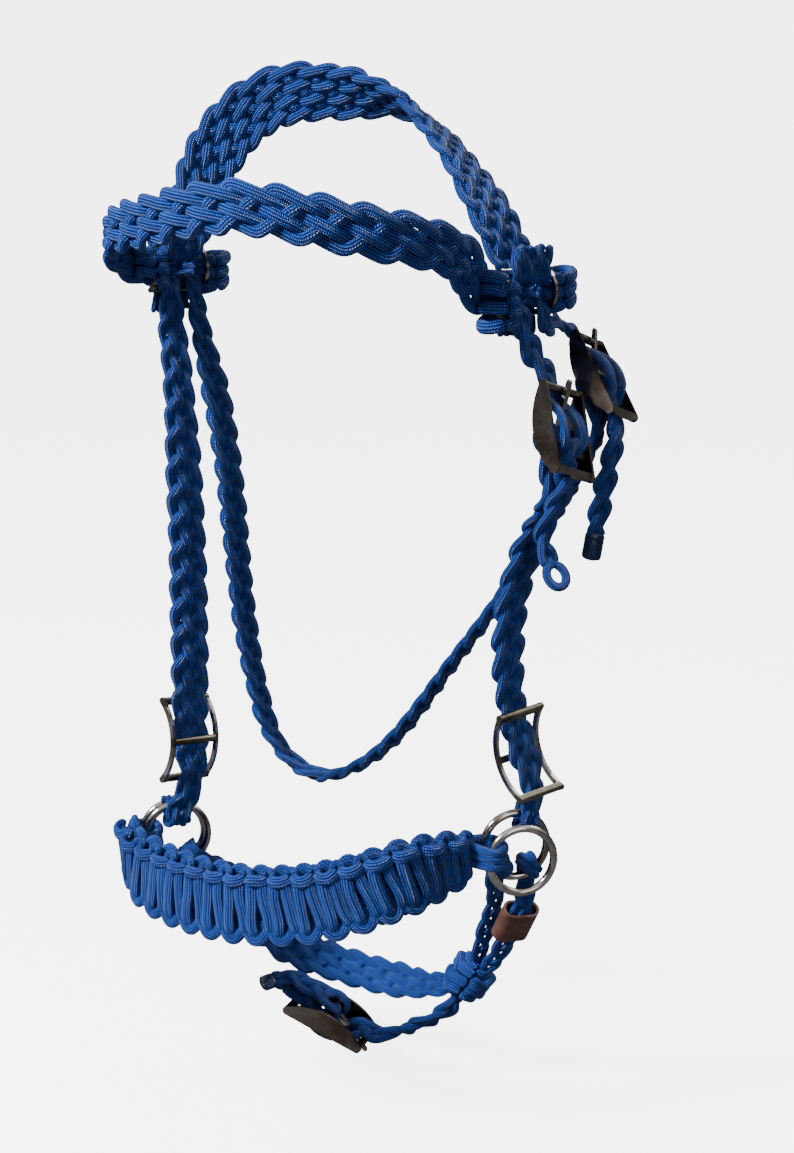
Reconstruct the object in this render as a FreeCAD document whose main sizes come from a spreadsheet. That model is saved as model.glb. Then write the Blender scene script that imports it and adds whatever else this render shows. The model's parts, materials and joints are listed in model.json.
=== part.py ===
import FreeCAD, Part
import math
import os
import Sketcher

# Braided rope halter: a soft headstall of flat cord braids joined by nickel hardware.
# +X is the side with the cheek and throat buckles, -Y is the front, +Z is up.
# The origin is at the middle of the crown strap, which stands on edge there.

App = FreeCAD
V = App.Vector
doc = App.newDocument("rope_halter")
os.makedirs("parts", exist_ok=True)

# ---------------------------------------------------------------- driving sizes, mm
SIZES = {
    "crown_width": 37, "crown_thick": 5.6,
    "brow_width": 30, "brow_thick": 5.6,
    "cheek_width": 26, "cheek_thick": 4.8,
    "throat_width": 20, "throat_thick": 4.8,
    "nose_width": 39, "nose_thick": 12.5,
    "chin_width": 28, "chin_thick": 5.6,
    "narrow_width": 14, "narrow_thick": 4.6,
    "ring_mean": 36.6, "ring_wire": 4.5,
    "frame_width": 32, "frame_side": 2, "bar_dia": 4.8,
    "buckle_reach": 48, "buckle_bow": 10.5, "buckle_pivot": 8.2, "pivot_dia": 4.2,
    "slide_reach": 45, "slide_bow": 12, "slide_pivot": 10, "slide_band": 3.2,
    "keeper_width": 36, "keeper_reach": 22, "keeper_bow": -8, "keeper_bar": 3.8,
    "tongue_dia": 3.2, "tongue_reach": 25.5, "tongue_eye": 3.6,
    "tag_width": 22, "tag_depth": 12.4, "tag_height": 23, "tag_wall": 1.6,
    "knot_dia": 27, "knot_height": 30,
}
sheet = doc.addObject("Spreadsheet::Sheet", "sizes")
for row, (alias, value) in enumerate(SIZES.items(), start=1):
    sheet.set("A%d" % row, alias)
    sheet.set("B%d" % row, str(value))
    sheet.setAlias("B%d" % row, alias)
doc.recompute()


def size(alias):
    return float(sheet.get(alias))


def link(alias):
    return "sizes." + alias


# ---------------------------------------------------------------- directions
UP = V(0, 0, 1)


def face(azimuth, tilt=0.0):
    """Unit direction a surface looks: azimuth 0 is the front (-Y), 90 is +X."""
    a = math.radians(azimuth)
    e = math.radians(tilt)
    return V(math.sin(a) * math.cos(e), -math.cos(a) * math.cos(e), math.sin(e))


def square_to(direction, axis):
    """The part of direction at right angles to axis, as a unit vector."""
    flat = direction - axis * direction.dot(axis)
    return flat.normalize()


def seat(centre, up, front):
    """Placement with local +Z along the strap, -Y out of its face, +X across it."""
    z = V(up).normalize()
    y = square_to(front, z) * -1
    x = y.cross(z)
    return App.Placement(centre, App.Rotation(x, y, z, "ZYX"))


# ---------------------------------------------------------------- where things sit
FACE = face(60)                    # face of every cheek strap, keeper, buckle and slide
ACROSS = V(-FACE.y, FACE.x, 0)     # across those straps, pointing back and to +X
RING_FACE = face(35)
RING_ACROSS = V(-RING_FACE.y, RING_FACE.x, 0)

KEEPER_L = V(-110, -44, -98)
KEEPER_R = V(97, -44, -107)
BUCKLE_CHEEK = V(125, -56, -180)
BUCKLE_THROAT = V(133, -9, -155)
BUCKLE_CHIN = V(-25, -30, -548)
SLIDE_L = V(-100, -68, -368)
SLIDE_R = V(110, -68, -357)
RING_L = V(-104, -73, -426)
RING_R = V(103, -73, -409)
KNOT = V(61, -26, -511)
TAG = V(97, -51, -462)

UP_CHEEK = V(-26, 41, 87).normalize()
UP_THROAT = V(-51, 35, 79).normalize()
FACE_CHEEK = square_to(face(72, 23), UP_CHEEK)
FACE_THROAT = square_to(face(88, 33), UP_THROAT)
UP_CHIN = V(47, 0, -19).normalize()
UP_SLIDE_L = V(-1, 5, 47).normalize()
UP_SLIDE_R = V(-13, 4, 43).normalize()
UP_LEG = V(33, -30, 65).normalize()
REIN_STEP = 12.5                   # rein rings hang this far outside the cheek rings


# ---------------------------------------------------------------- soft straps
def fold(bar, away, side, reach, tail, width, lie=None):
    """Rows that take a strap round a bar: down the side, past the bar, back up.

    away points from the fold back along the strap, side is the face the long leg
    lies on, reach is bar centre to strap centre, tail is the length turned back."""
    rows = []
    for degrees in (0, 45, 90, 135, 180):
        turn = math.radians(degrees)
        out = side * math.cos(turn) - away * math.sin(turn)
        rows.append((bar + out * reach, out, width))
    end = bar - side * (reach if lie is None else lie) + away * tail
    rows.append((end, side * -1, width))
    return rows


def ribbon(name, rows, thick, step=9.0):
    """Closed solid swept along the rows (point, face direction, width)."""
    points = [row[0] for row in rows]
    knots = [0.0]
    for a, b in zip(points, points[1:]):
        knots.append(knots[-1] + math.sqrt(a.distanceToPoint(b)))
    curve = Part.BSplineCurve()
    curve.interpolate(Points=points, Parameters=knots)
    wires = []
    for k in range(len(rows) - 1):
        parts = max(2, round(points[k].distanceToPoint(points[k + 1]) / step))
        for i in range(parts + (k == len(rows) - 2)):
            mix = i / parts
            at = knots[k] * (1 - mix) + knots[k + 1] * mix
            along = curve.tangent(at)[0]
            ease = mix * mix * (3 - 2 * mix)
            normal = square_to(rows[k][1] * (1 - ease) + rows[k + 1][1] * ease, along)
            half = (rows[k][2] * (1 - ease) + rows[k + 1][2] * ease) / 2
            wide = along.cross(normal) * half
            deep = normal * (thick / 2)
            centre = curve.value(at)
            corners = [centre + wide + deep, centre - wide + deep,
                       centre - wide - deep, centre + wide - deep]
            wires.append(Part.makePolygon(corners + corners[:1]))
    strap = doc.addObject("Part::Feature", name)
    strap.Label = name
    strap.Shape = Part.makeLoft(wires, True, True)
    return strap


def other_face(rows):
    """The same rows with their other face named."""
    return [(point, look * -1, wide) for point, look, wide in rows]


def slot(strap, centre, up, front, low, high, width):
    """Opens the gap between strands that a buckle tongue passes through."""
    deep = 30
    box = Part.makeBox(width, deep, high - low, V(-width / 2, -deep / 2, low))
    box.Placement = seat(centre, up, front)
    strap.Shape = strap.Shape.cut(box)


def spot(centre, up, front, across, back, along):
    """Point given in a buckle's own directions."""
    return seat(centre, up, front).multVec(V(across, back, along))


# crown: over the poll, each end folded round the top bar of its keeper
crown_w = size("crown_width")
bend = 4.8
crown_l = KEEPER_L + UP * (size("keeper_reach") / 2)
crown_r = KEEPER_R + UP * (size("keeper_reach") / 2)
crown_bend = 5.6
crown_rows = other_face(fold(crown_l, UP, FACE, crown_bend, 20, 25))[::-1] + [
    (V(-103, -36, -66), face(-135, -3), 33),
    (V(-95, -16, -31), face(-145, -6), crown_w),
    (V(-68, -3, -4), face(-162, 6), crown_w),
    (V(-28, 2, 0), face(178, 30), crown_w),
    (V(8, -2, -5), face(158, 57), crown_w),
    (V(43, -18, -27), face(99, 51), crown_w),
    (V(78, -41, -66), face(77, 29), 32),
] + other_face(fold(crown_r, UP, FACE * -1, crown_bend, 14, 25))
ribbon("crown_strap", crown_rows, size("crown_thick"))

# browband: passes behind each keeper and hooks round its rear edge
brow_w = size("brow_width")
hook = 20
brow_rows = [
    (KEEPER_L + ACROSS * 25 + FACE * 3, ACROSS * -1, hook),
    (KEEPER_L + ACROSS * 23 - FACE * 8, (ACROSS * -1 + FACE * 0.6).normalize(), hook),
    (KEEPER_L + ACROSS * 10 - FACE * 15, FACE, hook),
    (KEEPER_L - ACROSS * 8 - FACE * 16, FACE, 24),
    (V(-130, -74, -88), face(80, 0), 27),
    (V(-123, -98, -77), face(112, 0), 28),
    (V(-90, -129, -69), face(145, 0), brow_w),
    (V(-50, -151, -62), face(162, 0), brow_w),
    (V(-12, -159, -60), face(180, -4), brow_w),
    (V(44, -138, -72), face(205, -6), brow_w),
    (V(76, -88, -88), face(228, 0), 28),
    (KEEPER_R - ACROSS * 22 - FACE * 12, FACE * -1, 25),
    (KEEPER_R - FACE * 15, FACE * -1, hook),
    (KEEPER_R + ACROSS * 15 - FACE * 14, (ACROSS * 0.5 - FACE).normalize(), hook),
    (KEEPER_R + ACROSS * 24 - FACE * 5, (ACROSS - FACE * 0.4).normalize(), hook),
    (KEEPER_R + ACROSS * 25 + FACE * 4, ACROSS, hook),
]
ribbon("browband", brow_rows, size("brow_thick"))

# left cheek: keeper lower bar, slide, cheek ring, end tucked up behind the slide
cheek_w = size("cheek_width")
narrow = size("narrow_width")
cheek_t = size("cheek_thick")
low_l = KEEPER_L - UP * (size("keeper_reach") / 2)
low_r = KEEPER_R - UP * (size("keeper_reach") / 2)
bar_gap = size("bar_dia") / 2 + cheek_t / 2 + 0.8
left_front = FACE * -1
ring_gap = 6.2
ring_drop = size("ring_mean") / 2 - 0.8
left_rows = fold(low_l - ACROSS * 7.4, UP * -1, FACE, bend, 14, narrow)[::-1] + [
    (V(-111, -49, -128), FACE, 16),
    (V(-108, -50, -152), FACE, 21),
    (V(-102, -55, -230), FACE, cheek_w),
    (V(-99, -60, -287), FACE, cheek_w),
    (spot(SLIDE_L, UP_SLIDE_L, left_front, 0, bar_gap, 22.5), FACE, 25),
    (spot(SLIDE_L, UP_SLIDE_L, left_front, 0, bar_gap - 0.8, 0), FACE, 24),
    (spot(SLIDE_L, UP_SLIDE_L, left_front, 0, bar_gap + 0.9, -23.5), FACE, 16),
]
left_rows += fold(RING_L + UP * ring_drop, UP, RING_FACE, ring_gap, 9, 13, 7)
ribbon("cheek_strap_left", left_rows, cheek_t)

# right cheek billet: keeper lower bar, then through the cheek buckle to a looped tail
weave = size("narrow_thick")
pull = size("bar_dia") / 2 + weave / 2 + 0.9
loose = bend + 0.8


def threaded(centre, up, front):
    """Rows behind the top bar, over the middle bar and behind the bottom bar."""
    heights = ((28, pull, 20), (20.5, pull, 21), (8, -2.6, 22), (-9, -2.6, 22),
               (-20.5, pull, 20), (-28, pull, 18))
    return [(spot(centre, up, front, 0, back, z), front, wide) for z, back, wide in heights]


def billet(name, bar, width, lead, centre, up, front, tail):
    """Strap hung on a keeper bar that threads a buckle and ends in a free tail."""
    rows = fold(bar, UP * -1, FACE, loose, 13, width)[::-1] + lead
    rows += threaded(centre, up, front) + tail
    strap = ribbon(name, rows, weave)
    slot(strap, centre, up, front, -4, 22, 4.6)


billet("cheek_billet", low_r - ACROSS * 7.4, narrow, [(V(101, -50, -134), FACE, 18)],
       BUCKLE_CHEEK, UP_CHEEK, FACE_CHEEK,
       [(V(121, -70, -222), face(62), 14), (V(117, -71, -238), face(62, 8), 13),
        (V(122, -73, -250), face(60, 50), 13), (V(131, -75, -255), face(60, 70), 13)])
billet("throat_billet", low_r + ACROSS * 8.2, 12,
       [(V(107, -34, -128), FACE, 11),
        (spot(BUCKLE_THROAT, UP_THROAT, FACE_THROAT, -24, 6, 33), face(75, 10), 12),
        (spot(BUCKLE_THROAT, UP_THROAT, FACE_THROAT, -9, 6, 36), FACE_THROAT, 13)],
       BUCKLE_THROAT, UP_THROAT, FACE_THROAT,
       [(V(143, -26, -193), face(70, 8), 15), (V(138, -27, -218), face(60), 14),
        (V(134, -28, -241), face(60), 13)])


def hung(name, centre, up, front, width, rows, thick, tail=8):
    """Strap whose end folds over the middle bar of a buckle, on both sides of its tongue."""
    bar = spot(centre, up, front, 0, size("buckle_pivot"), 0)
    top = fold(bar, up * -1, front * -1, 4.9, tail, width, 4.4)
    strap = ribbon(name, other_face(top)[::-1] + rows, thick)
    slot(strap, centre, up, front, -6, 18, 5.6)


# right cheek: buckle middle bar, slide, cheek ring, end tucked up behind the slide
right_rows = [
    (spot(BUCKLE_CHEEK, UP_CHEEK, FACE_CHEEK, 0, 14.2, -22), FACE_CHEEK, 22),
    (V(112, -55, -226), face(64, 8), 23),
    (V(101, -57, -254), FACE, cheek_w),
    (V(95, -62, -296), FACE, cheek_w),
    (spot(SLIDE_R, UP_SLIDE_R, FACE, 0, bar_gap, 22.5), FACE, 25),
    (spot(SLIDE_R, UP_SLIDE_R, FACE, 0, bar_gap - 0.8, 0), FACE, 24),
    (spot(SLIDE_R, UP_SLIDE_R, FACE, 0, bar_gap, -22.5), FACE, 18),
]
lean = math.radians(68)
tilted = RING_ACROSS * math.cos(lean) + UP * math.sin(lean)
right_rows += fold(RING_R + tilted * ring_drop, tilted, RING_FACE, ring_gap, 10, 14, 7)
hung("cheek_strap_right", BUCKLE_CHEEK, UP_CHEEK, FACE_CHEEK, 20, right_rows, cheek_t)

# throatlatch: left keeper, down under the jaw, up behind the right cheek to its buckle
throat_w = size("throat_width")
throat_rows = [
    (spot(BUCKLE_THROAT, UP_THROAT, FACE_THROAT, 0, 14.2, -22), FACE_THROAT, 18),
    (V(122, -12, -206), face(76, 10), 19),
    (V(104, -8, -236), face(76), throat_w),
    (V(72, 2, -286), face(78), throat_w),
    (V(36, 12, -334), face(78, -30), throat_w),
    (V(3, 18, -378), face(70, -45), throat_w),
    (V(-24, 20, -402), face(40, -75), throat_w),
    (V(-51, 20, -411), face(-10, -88), throat_w),
    (V(-74, 18, -398), face(-85, -50), throat_w),
    (V(-87, 13, -365), face(-95, -20), throat_w),
    (V(-94, 4, -301), face(-98), throat_w),
    (V(-94, -8, -237), face(-100), throat_w),
    (V(-97, -20, -175), face(-110), 18),
    (V(-101, -33, -130), FACE * -1, 11),
]
throat_rows += other_face(fold(low_l + ACROSS * 8.6, UP * -1, FACE, loose, 13, 11))
hung("throatlatch", BUCKLE_THROAT, UP_THROAT, FACE_THROAT, 17, throat_rows,
     size("throat_thick"))

# noseband: thick square-knotted band across the front, ring to ring
nose_w = size("nose_width")
nose_rows = [
    (V(-123, -92, -422), face(-88), 27),
    (V(-116, -106, -429), face(-62), 35),
    (V(-94, -120, -436), face(-32, 4), nose_w),
    (V(-55, -135, -438), face(-16, 6), nose_w),
    (V(-15, -142, -435), face(0, 8), nose_w),
    (V(25, -139, -427), face(13, 6), nose_w),
    (V(58, -124, -416), face(32, 4), 37),
    (V(78, -99, -412), face(52), 26),
]
ribbon("noseband", nose_rows, size("nose_thick"))


def ring_fold(ring, degrees, side, width, tail):
    """End of a chin braid turned over the lower half of a cheek ring."""
    turn = math.radians(degrees)
    out = RING_ACROSS * math.cos(turn) + UP * math.sin(turn)
    bar = ring + out * (size("ring_mean") / 2 - 0.5)
    return fold(bar, out, side, 6.2, tail, width, 5.6)


# chin strap, the two legs it splits into beyond the knot, and its adjuster
chin_t = size("chin_thick")
chin_w = size("chin_width")
chin_rows = ring_fold(RING_L, -52, RING_FACE, 12, 9)[::-1] + [
    (V(-85, -42, -462), face(52, 18), 20),
    (V(-78, -24, -486), face(42, 26), chin_w),
    (V(-60, -13, -509), face(25, 36), chin_w),
    (V(-30, -7, -521), face(6, 48), 26),
    (V(7, -10, -525), face(-8, 48), 25),
    (V(40, -21, -520), face(-20, 40), 20),
]
ribbon("chin_strap", chin_rows, 4.8)
leg_in = [
    (V(69, -31, -493), face(50, 10), 12),
    (V(77, -41, -471), face(45, 5), narrow),
    (V(85, -52, -450), face(40), 12),
] + other_face(ring_fold(RING_R, -128, RING_FACE * -1, 10, 7))
ribbon("chin_leg_inner", leg_in, 4.4, 7)
leg_out = [
    (V(78, -34, -496), face(35, 10), 12),
    (TAG - UP_LEG * 16, face(42, 8), 15),
    (TAG, face(42, 8), 17),
    (TAG + UP_LEG * 14, face(40, 5), 14),
] + other_face(ring_fold(RING_R, -56, RING_FACE * -1, 10, 6))
ribbon("chin_leg_outer", leg_out, 4.4, 7)

DOWN = UP * -1
FACE_CHIN = square_to(DOWN, UP_CHIN)
chape_rows = [
    (spot(BUCKLE_CHIN, UP_CHIN, FACE_CHIN, 0, 13.6, -20), FACE_CHIN, 18),
    (spot(BUCKLE_CHIN, UP_CHIN, FACE_CHIN, -3, 13.5, -34), FACE_CHIN, 14),
    (V(-59, -38, -524), FACE_CHIN, 13),
]
hung("chin_chape", BUCKLE_CHIN, UP_CHIN, FACE_CHIN, 17, chape_rows, weave)
adjuster = [
    (V(49, -28, -531), face(0, -60), 13),
    (V(32, -30, -542), face(0, -75), 16),
] + threaded(BUCKLE_CHIN, UP_CHIN, FACE_CHIN)
adjuster += [(spot(BUCKLE_CHIN, UP_CHIN, FACE_CHIN, 0, pull - 1, -35), FACE_CHIN, 15)]
strap = ribbon("chin_adjuster", adjuster, weave)
slot(strap, BUCKLE_CHIN, UP_CHIN, FACE_CHIN, -4, 22, 4.6)


# ---------------------------------------------------------------- sketch helpers
def new_body(name, placement):
    body = doc.addObject("PartDesign::Body", name)
    body.Label = name
    body.Placement = placement
    return body


def new_sketch(body, role, name):
    plane = [o for o in body.Origin.OriginFeatures if o.Role == role][0]
    sketch = body.newObject("Sketcher::SketchObject", name)
    sketch.AttachmentSupport = [(plane, "")]
    sketch.MapMode = "FlatFace"
    return sketch


def tie(sketch, kind, *rest, name=None, to=None):
    """Adds a constraint and, where asked, binds it to the sheet."""
    index = sketch.addConstraint(Sketcher.Constraint(kind, *rest))
    if name:
        sketch.renameConstraint(index, name)
        sketch.setExpression("Constraints." + name, to)


def arc_through(a, b, c):
    return Part.Arc(a, b, c)


def circle(sketch, y, z, radius):
    return sketch.addGeometry(Part.Circle(V(y, z, 0), UP, radius), False)


def midplane_pad(body, kind, sketch, name, length):
    feature = body.newObject("PartDesign::" + kind, name)
    feature.Profile = sketch
    feature.Midplane = True
    feature.setExpression("Length", length)
    return feature


def bar_frame(name, placement, kind, end_radius, band=None, pivot=None, flat=False):
    """Two bowed side rails joined by a top bar, a bottom bar and maybe a middle bar."""
    body = new_body(name, placement)
    half = size(kind + "_reach") / 2
    bow = size(kind + "_bow")
    turn = 1 if bow > 0 else -1
    bar = "keeper_bar" if kind == "keeper" else "bar_dia"
    wide = "keeper_width" if kind == "keeper" else "frame_width"
    far, near = turn * end_radius, -turn * end_radius
    inner = 0 if band is None else bow - turn * band

    side = new_sketch(body, "YZ_Plane", name + "_side")
    side.addGeometry(arc_through(V(far, half, 0), V(0, half + end_radius, 0), V(near, half, 0)))
    if band is None:
        side.addGeometry(Part.LineSegment(V(near, half, 0), V(near, -half, 0)))
    else:
        side.addGeometry(arc_through(V(near, half, 0), V(inner, 0, 0), V(near, -half, 0)))
    side.addGeometry(arc_through(V(near, -half, 0), V(0, -half - end_radius, 0), V(far, -half, 0)))
    side.addGeometry(arc_through(V(far, -half, 0), V(bow, 0, 0), V(far, half, 0)))
    tie(side, "DistanceY", 2, 3, 0, 3, 2 * half, name="reach", to=link(kind + "_reach"))
    tie(side, "Radius", 0, end_radius)
    tie(side, "Radius", 2, end_radius)
    tie(side, "PointOnObject", 0, 3, -2)
    tie(side, "PointOnObject", 2, 3, -2)
    midplane_pad(body, "Pad", side, name + "_blank", link(wide))

    window = new_sketch(body, "YZ_Plane", name + "_window")
    reach = half + 12
    outer = [V(-24, -reach, 0), V(24, -reach, 0), V(24, reach, 0), V(-24, reach, 0)]
    for a, b in zip(outer, outer[1:] + outer[:1]):
        window.addGeometry(Part.LineSegment(a, b))
    radius = size(bar) / 2
    top = circle(window, 0, half, radius)
    tie(window, "Radius", top, radius, name="top_bar", to=link(bar) + " / 2")
    tie(window, "DistanceY", -1, 1, top, 3, half, name="top_at", to=link(kind + "_reach") + " / 2")
    if flat:
        thin = radius * 0.55
        edge = [V(-thin, -half - radius, 0), V(thin, -half - radius, 0),
                V(thin, -half + radius, 0), V(-thin, -half + radius, 0)]
        for a, b in zip(edge, edge[1:] + edge[:1]):
            window.addGeometry(Part.LineSegment(a, b))
    else:
        low = circle(window, 0, -half, radius)
        tie(window, "Radius", low, radius, name="low_bar", to=link(bar) + " / 2")
        tie(window, "DistanceY", low, 3, -1, 1, half, name="low_at",
            to=link(kind + "_reach") + " / 2")
    if pivot is not None:
        mid = circle(window, pivot, 0, size("pivot_dia") / 2)
        tie(window, "Radius", mid, size("pivot_dia") / 2, name="middle_bar",
            to=link("pivot_dia") + " / 2")
        tie(window, "DistanceX", -1, 1, mid, 3, pivot, name="middle_at",
            to=link(kind + "_pivot"))
    inside = link(wide) + " - 2 * " + link("frame_side")
    body.Tip = midplane_pad(body, "Pocket", window, name + "_opening", inside)
    return body


def tongue(name, placement):
    """Pin whose eye turns on the middle bar and whose tip rests on the top bar."""
    body = new_body(name, placement)
    pivot = size("buckle_pivot")
    eye = new_sketch(body, "YZ_Plane", name + "_eye")
    rim = circle(eye, pivot, 0, size("tongue_eye"))
    hole = circle(eye, pivot, 0, size("pivot_dia") / 2 + 0.06)
    tie(eye, "Coincident", rim, 3, hole, 3)
    tie(eye, "DistanceX", -1, 1, rim, 3, pivot, name="pivot_at", to=link("buckle_pivot"))
    tie(eye, "Radius", rim, size("tongue_eye"), name="rim", to=link("tongue_eye"))
    tie(eye, "Radius", hole, size("pivot_dia") / 2 + 0.06, name="bore",
        to=link("pivot_dia") + " / 2 + 0.06")
    midplane_pad(body, "Pad", eye, name + "_eye_pad", link("tongue_dia"))
    pin = new_sketch(body, "YZ_Plane", name + "_pin")
    root = V(pivot - 1.8, 2.6, 0)
    tip = V(-6.4, size("tongue_reach") + 1, 0)
    along = (tip - root).normalize()
    square = V(-along.y, along.x, 0)
    corners = [root - square * 1.35, tip - square * 1.0, tip + along * 1.2,
               tip + square * 1.0, root + square * 1.35]
    for a, b in zip(corners, corners[1:] + corners[:1]):
        pin.addGeometry(Part.LineSegment(a, b))
    midplane_pad(body, "Pad", pin, name + "_pin_pad", link("tongue_dia"))
    return body


# ---------------------------------------------------------------- hardware
front_l = FACE * -1
for name, centre in (("keeper_left", KEEPER_L), ("keeper_right", KEEPER_R)):
    bar_frame(name, seat(centre, UP, FACE), "keeper", 2.2, band=2.6)
for name, centre, up, front in (("slide_left", SLIDE_L, UP_SLIDE_L, front_l),
                                ("slide_right", SLIDE_R, UP_SLIDE_R, FACE)):
    bar_frame(name, seat(centre, up, front), "slide", 2.6,
              band=size("slide_band"), pivot=size("slide_pivot"))
for name, centre, up, front in (("cheek_buckle", BUCKLE_CHEEK, UP_CHEEK, FACE_CHEEK),
                                ("throat_buckle", BUCKLE_THROAT, UP_THROAT, FACE_THROAT),
                                ("chin_buckle", BUCKLE_CHIN, UP_CHIN, FACE_CHIN)):
    where = seat(centre, up, front)
    bar_frame(name, where, "buckle", 2.8, pivot=size("buckle_pivot"), flat=True)
    tongue(name.replace("buckle", "tongue"), where)

REIN_L = RING_L - RING_FACE * REIN_STEP - UP * 2
REIN_R = RING_R + RING_FACE * REIN_STEP - UP * 5
for name, centre in (("cheek_ring_left", RING_L), ("cheek_ring_right", RING_R),
                     ("rein_ring_left", REIN_L), ("rein_ring_right", REIN_R)):
    ring = doc.addObject("Part::Torus", name)
    ring.Label = name
    ring.setExpression("Radius1", link("ring_mean") + " / 2")
    ring.setExpression("Radius2", link("ring_wire") + " / 2")
    ring.Placement = App.Placement(centre, App.Rotation(UP, RING_FACE))

tag = new_body("leather_tag", seat(TAG, UP_LEG, face(42, 8)))
sleeve = new_sketch(tag, "XY_Plane", "tag_section")
for wall in (0, size("tag_wall")):
    r = size("tag_depth") / 2 - wall
    x = size("tag_width") / 2 - size("tag_depth") / 2
    sleeve.addGeometry(Part.LineSegment(V(-x, r, 0), V(x, r, 0)))
    sleeve.addGeometry(arc_through(V(x, r, 0), V(x + r, 0, 0), V(x, -r, 0)))
    sleeve.addGeometry(Part.LineSegment(V(x, -r, 0), V(-x, -r, 0)))
    sleeve.addGeometry(arc_through(V(-x, -r, 0), V(-x - r, 0, 0), V(-x, r, 0)))
midplane_pad(tag, "Pad", sleeve, "tag_wrap", link("tag_height"))

knot = new_body("chin_knot", seat(KNOT, V(0.55, 0, 0.83), face(30)))
profile = new_sketch(knot, "XZ_Plane", "knot_section")
r = size("knot_dia") / 2
h = size("knot_height") / 2
profile.addGeometry(Part.LineSegment(V(0, -h, 0), V(r * 0.62, -h, 0)))
profile.addGeometry(arc_through(V(r * 0.62, -h, 0), V(r, 0, 0), V(r * 0.62, h, 0)))
profile.addGeometry(Part.LineSegment(V(r * 0.62, h, 0), V(0, h, 0)))
profile.addGeometry(Part.LineSegment(V(0, h, 0), V(0, -h, 0)))
turned = knot.newObject("PartDesign::Revolution", "knot_turned")
turned.Profile = profile
turned.ReferenceAxis = (profile, ["V_Axis"])
turned.Angle = 360

doc.recompute()

# ---------------------------------------------------------------- check and write
made = []
for item in doc.Objects:
    if item.TypeId in ("PartDesign::Body", "Part::Torus") or (
            item.TypeId == "Part::Feature" and item.Label == item.Name):
        made.append(item)
for item in doc.Objects:
    for state in item.State:
        if state in ("Invalid", "Error"):
            raise RuntimeError("%s is %s" % (item.Label, state))
for item in made:
    shape = item.Shape
    if shape.isNull() or not shape.isValid() or len(shape.Solids) != 1:
        raise RuntimeError("%s did not make one sound solid" % item.Label)
for item in made:
    item.Shape.exportStep("parts/" + item.Label + ".step")
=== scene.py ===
import bpy
import json
import math
import numpy as np
from mathutils import Matrix, Vector


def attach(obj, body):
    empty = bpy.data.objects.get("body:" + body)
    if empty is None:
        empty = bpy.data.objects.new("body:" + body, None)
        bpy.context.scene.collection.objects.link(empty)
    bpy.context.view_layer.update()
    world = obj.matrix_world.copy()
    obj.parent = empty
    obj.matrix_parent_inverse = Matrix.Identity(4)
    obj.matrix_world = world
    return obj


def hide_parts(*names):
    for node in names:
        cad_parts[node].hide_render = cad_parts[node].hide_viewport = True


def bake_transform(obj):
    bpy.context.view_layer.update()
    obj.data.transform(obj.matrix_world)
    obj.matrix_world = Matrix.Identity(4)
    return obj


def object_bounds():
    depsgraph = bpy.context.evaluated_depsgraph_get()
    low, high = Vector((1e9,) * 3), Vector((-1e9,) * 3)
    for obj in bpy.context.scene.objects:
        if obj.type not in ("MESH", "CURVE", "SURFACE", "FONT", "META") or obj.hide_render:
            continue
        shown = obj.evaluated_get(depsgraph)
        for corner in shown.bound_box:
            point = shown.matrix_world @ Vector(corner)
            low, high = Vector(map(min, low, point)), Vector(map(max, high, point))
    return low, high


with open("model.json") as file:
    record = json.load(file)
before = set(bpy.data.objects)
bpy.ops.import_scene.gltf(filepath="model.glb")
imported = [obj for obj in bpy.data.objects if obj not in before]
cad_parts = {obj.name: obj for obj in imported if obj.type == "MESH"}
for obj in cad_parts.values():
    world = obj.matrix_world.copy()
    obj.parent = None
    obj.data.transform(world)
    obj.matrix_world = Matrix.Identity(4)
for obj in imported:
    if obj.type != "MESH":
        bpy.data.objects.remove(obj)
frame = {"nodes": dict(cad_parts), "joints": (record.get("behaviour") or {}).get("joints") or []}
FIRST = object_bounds()
NODES = frame["nodes"]
JOINT = {j["name"]: j for j in frame["joints"]}
MM = 0.001
rng = np.random.default_rng(7)


# ------------------------------------------------------------------ directions and anchors (mm)
def V(x, y, z):
    return np.array([x, y, z], float)


def unit(a):
    return a / np.linalg.norm(a)


UP = V(0, 0, 1)


def face(azimuth, tilt=0.0):
    a, e = math.radians(azimuth), math.radians(tilt)
    return V(math.sin(a) * math.cos(e), -math.cos(a) * math.cos(e), math.sin(e))


def square_to(d, axis):
    return unit(d - axis * (d @ axis))


def axes(up, front):
    z = unit(up)
    y = -square_to(front, z)
    return np.cross(y, z), y, z


def spot(seat, across, back, along):
    centre, up, front = seat
    x, y, z = axes(up, front)
    return centre + x * across + y * back + z * along


def middle(node, frame_axes=(V(1, 0, 0), V(0, 1, 0), V(0, 0, 1))):
    """Middle of a CAD node's box in the given axes, mm."""
    co = np.array([v.co for v in NODES[node].data.vertices]) * 1000
    return sum(a * ((co @ a).max() + (co @ a).min()) / 2 for a in frame_axes)


def at_joint(name):
    return np.array(JOINT[name]["pos_m"]) * 1000


FACE = face(60)
ACROSS = V(-FACE[1], FACE[0], 0)
RING_FACE = face(35)
RING_ACROSS = V(-RING_FACE[1], RING_FACE[0], 0)
KEEPER_L = at_joint("browband_swing")
KEEPER_R = KEEPER_L + middle("keeper_right") - middle("keeper_left")
UP_CHEEK, UP_THROAT, UP_CHIN = unit(V(-26, 41, 87)), unit(V(-51, 35, 79)), unit(V(47, 0, -19))
UP_SLIDE_L, UP_SLIDE_R = unit(V(-1, 5, 47)), unit(V(-13, 4, 43))
UP_LEG = unit(V(33, -30, 65))
FACE_CHEEK = square_to(face(72, 23), UP_CHEEK)
FACE_THROAT = square_to(face(88, 33), UP_THROAT)
FACE_CHIN = square_to(-UP, UP_CHIN)


def buckle(joint, up, front):
    return (at_joint(joint) - axes(up, front)[1] * 8.2, up, front)


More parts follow.
